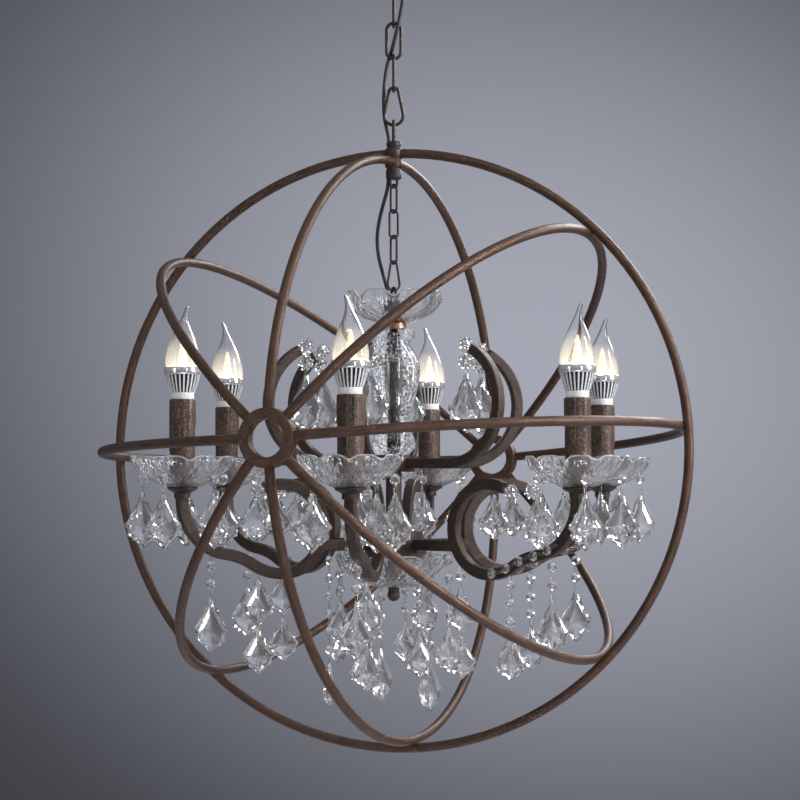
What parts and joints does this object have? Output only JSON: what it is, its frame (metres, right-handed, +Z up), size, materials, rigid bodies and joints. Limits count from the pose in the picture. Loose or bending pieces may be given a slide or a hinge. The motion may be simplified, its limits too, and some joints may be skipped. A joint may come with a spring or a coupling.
{
  "type": "orb chandelier",
  "caption": "Round iron orb of crossed rings on a chain, holding a crystal candle-arm chandelier with a glass column, scrolls, glass dishes and flame lamps.",
  "frame": {"origin": "on the ceiling, midway between the two screw holes of the ceiling bracket", "axes": "+Z up along the chain, the front faces -Y, +X to the right as seen from the front"},
  "size_m": [0.6324, 0.6323, 0.8786],
  "materials": {
    "rust_iron": "rusted brown paint over iron, matt",
    "dark_iron": "dark brown paint over iron, matt",
    "steel": "plain zinc plate",
    "copper_iron": "aged copper plate",
    "cord": "black cord",
    "white_plastic": "white moulded plastic",
    "cut_glass": "clear cut glass",
    "crystal": "clear faceted crystal",
    "lamp": "finned aluminium body with a clear flame bulb",
    "candle": "brown card sleeve with wax drips"
  },
  "bodies": {
    "ceiling": {"ceiling_bracket": "steel", "ceiling_canopy": "rust_iron", "canopy_screws": "dark_iron", "canopy_loop": "rust_iron", "canopy_nut": "steel", "terminal_block": "white_plastic", "cord_bush": "cord", "upper_cord": "cord"},
    "link_1": {"chain_link_1": "dark_iron"},
    "link_2": {"chain_link_2": "dark_iron"},
    "link_3": {"chain_link_3": "dark_iron"},
    "pear": {"pear_link": "dark_iron"},
    "orb": {"hub_eye": "rust_iron", "orb_hub": "rust_iron", "lower_eye": "dark_iron", "outer_ring": "rust_iron", "vertical_ring": "rust_iron", "right_ring": "rust_iron", "equator_ring": "rust_iron", "left_ring": "rust_iron", "ring_bosses": "rust_iron", "lower_cord": "cord"},
    "inner_1": {"inner_link_1": "dark_iron"},
    "inner_2": {"inner_link_2": "dark_iron"},
    "inner_3": {"inner_link_3": "dark_iron"},
    "inner_pear": {"inner_pear_link": "dark_iron"},
    "chandelier": {"column_loop": "dark_iron", "column_rod": "dark_iron", "crown_dish": "cut_glass", "crown_washer": "copper_iron", "column_glass": "cut_glass", "mid_spindle": "dark_iron", "arm_hub": "dark_iron", "bottom_dish": "cut_glass", "bottom_finial": "dark_iron", "arm_1": "dark_iron", "arm_2": "dark_iron", "arm_3": "dark_iron", "arm_4": "dark_iron", "arm_5": "dark_iron", "arm_6": "dark_iron", "upper_scrolls": "dark_iron", "bobeches": "cut_glass", "candle_sleeves": "candle", "lamp_sockets": "white_plastic", "bobeche_drops": "crystal", "scroll_crystals": "crystal", "crystal_strands": "crystal"},
    "lamp_1": {"lamp_1": "lamp"},
    "lamp_2": {"lamp_2": "lamp"},
    "lamp_3": {"lamp_3": "lamp"},
    "lamp_4": {"lamp_4": "lamp"},
    "lamp_5": {"lamp_5": "lamp"},
    "lamp_6": {"lamp_6": "lamp"},
    "drop_1": {"arm_drop_1": "crystal"},
    "drop_2": {"arm_drop_2": "crystal"},
    "drop_3": {"arm_drop_3": "crystal"},
    "drop_4": {"arm_drop_4": "crystal"},
    "drop_5": {"arm_drop_5": "crystal"},
    "drop_6": {"arm_drop_6": "crystal"}
  },
  "joints": [
    {"name": "link_1_swing", "type": "hinge", "parent": "ceiling", "child": "link_1", "pos_m": [0, 0, -0.06], "axis": [1, 0, 0], "range_deg": [-8, 8], "deforming": ["upper_cord"]},
    {"name": "link_2_swing", "type": "hinge", "parent": "link_1", "child": "link_2", "pos_m": [0, 0, -0.09495], "axis": [0, 1, 0], "range_deg": [-8, 8], "deforming": ["upper_cord"]},
    {"name": "link_3_twist", "type": "hinge", "parent": "link_2", "child": "link_3", "pos_m": [0, 0, -0.13015], "axis": [0, 0, 1], "range_deg": [-12, 12], "deforming": ["upper_cord"]},
    {"name": "pear_twist", "type": "hinge", "parent": "link_3", "child": "pear", "pos_m": [0, 0, -0.16535], "axis": [0, 0, 1], "range_deg": [-12, 12], "deforming": ["upper_cord"]},
    {"name": "orb_swing", "type": "hinge", "parent": "pear", "child": "orb", "pos_m": [0, 0, -0.20225], "axis": [1, 0, 0], "range_deg": [-8, 8], "deforming": ["upper_cord"]},
    {"name": "inner_1_swing", "type": "hinge", "parent": "orb", "child": "inner_1", "pos_m": [0, 0, -0.2701], "axis": [0.8192, 0.5736, 0], "range_deg": [-0.5, 0.5], "deforming": ["lower_cord"]},
    {"name": "inner_2_swing", "type": "hinge", "parent": "inner_1", "child": "inner_2", "pos_m": [0, 0, -0.29755], "axis": [-0.5736, 0.8192, 0], "range_deg": [-0.5, 0.5], "deforming": ["lower_cord"]},
    {"name": "inner_3_twist", "type": "hinge", "parent": "inner_2", "child": "inner_3", "pos_m": [0, 0, -0.32525], "axis": [0, 0, 1], "range_deg": [-6, 6], "deforming": ["lower_cord"]},
    {"name": "inner_pear_twist", "type": "hinge", "parent": "inner_3", "child": "inner_pear", "pos_m": [0, 0, -0.35295], "axis": [0, 0, 1], "range_deg": [-6, 6], "deforming": ["lower_cord"]},
    {"name": "chandelier_twist", "type": "hinge", "parent": "inner_pear", "child": "chandelier", "pos_m": [0, 0, -0.38215], "axis": [0, 0, 1], "range_deg": [-6, 6], "deforming": ["lower_cord"]},
    {"name": "lamp_1_lift", "type": "slide", "parent": "chandelier", "child": "lamp_1", "axis": [0, 0, 1], "range_m": [0, 0.024]},
    {"name": "lamp_2_lift", "type": "slide", "parent": "chandelier", "child": "lamp_2", "axis": [0, 0, 1], "range_m": [0, 0.024]},
    {"name": "lamp_3_lift", "type": "slide", "parent": "chandelier", "child": "lamp_3", "axis": [0, 0, 1], "range_m": [0, 0.024]},
    {"name": "lamp_4_lift", "type": "slide", "parent": "chandelier", "child": "lamp_4", "axis": [0, 0, 1], "range_m": [0, 0.024]},
    {"name": "lamp_5_lift", "type": "slide", "parent": "chandelier", "child": "lamp_5", "axis": [0, 0, 1], "range_m": [0, 0.024]},
    {"name": "lamp_6_lift", "type": "slide", "parent": "chandelier", "child": "lamp_6", "axis": [0, 0, 1], "range_m": [0, 0.024]},
    {"name": "drop_1_swing", "type": "hinge", "parent": "chandelier", "child": "drop_1", "pos_m": [-0.02726, -0.15461, -0.68543], "axis": [0.9848, -0.1736, 0], "range_deg": [-5, 5]},
    {"name": "drop_2_swing", "type": "hinge", "parent": "chandelier", "child": "drop_2", "pos_m": [0.12027, -0.10092, -0.68543], "axis": [0.6428, 0.766, 0], "range_deg": [-5, 5]},
    {"name": "drop_3_swing", "type": "hinge", "parent": "chandelier", "child": "drop_3", "pos_m": [0.15014, 0.0459, -0.68543], "axis": [-0.2924, 0.9563, 0], "range_deg": [-5, 5]},
    {"name": "drop_4_swing", "type": "hinge", "parent": "chandelier", "child": "drop_4", "pos_m": [0.02726, 0.15461, -0.68543], "axis": [-0.9848, 0.1736, 0], "range_deg": [-5, 5]},
    {"name": "drop_5_swing", "type": "hinge", "parent": "chandelier", "child": "drop_5", "pos_m": [-0.12372, 0.09666, -0.68543], "axis": [-0.6157, -0.788, 0], "range_deg": [-5, 5]},
    {"name": "drop_6_swing", "type": "hinge", "parent": "chandelier", "child": "drop_6", "pos_m": [-0.14111, -0.06882, -0.68543], "axis": [0.4384, -0.8988, 0], "range_deg": [-5, 5]}
  ]
}
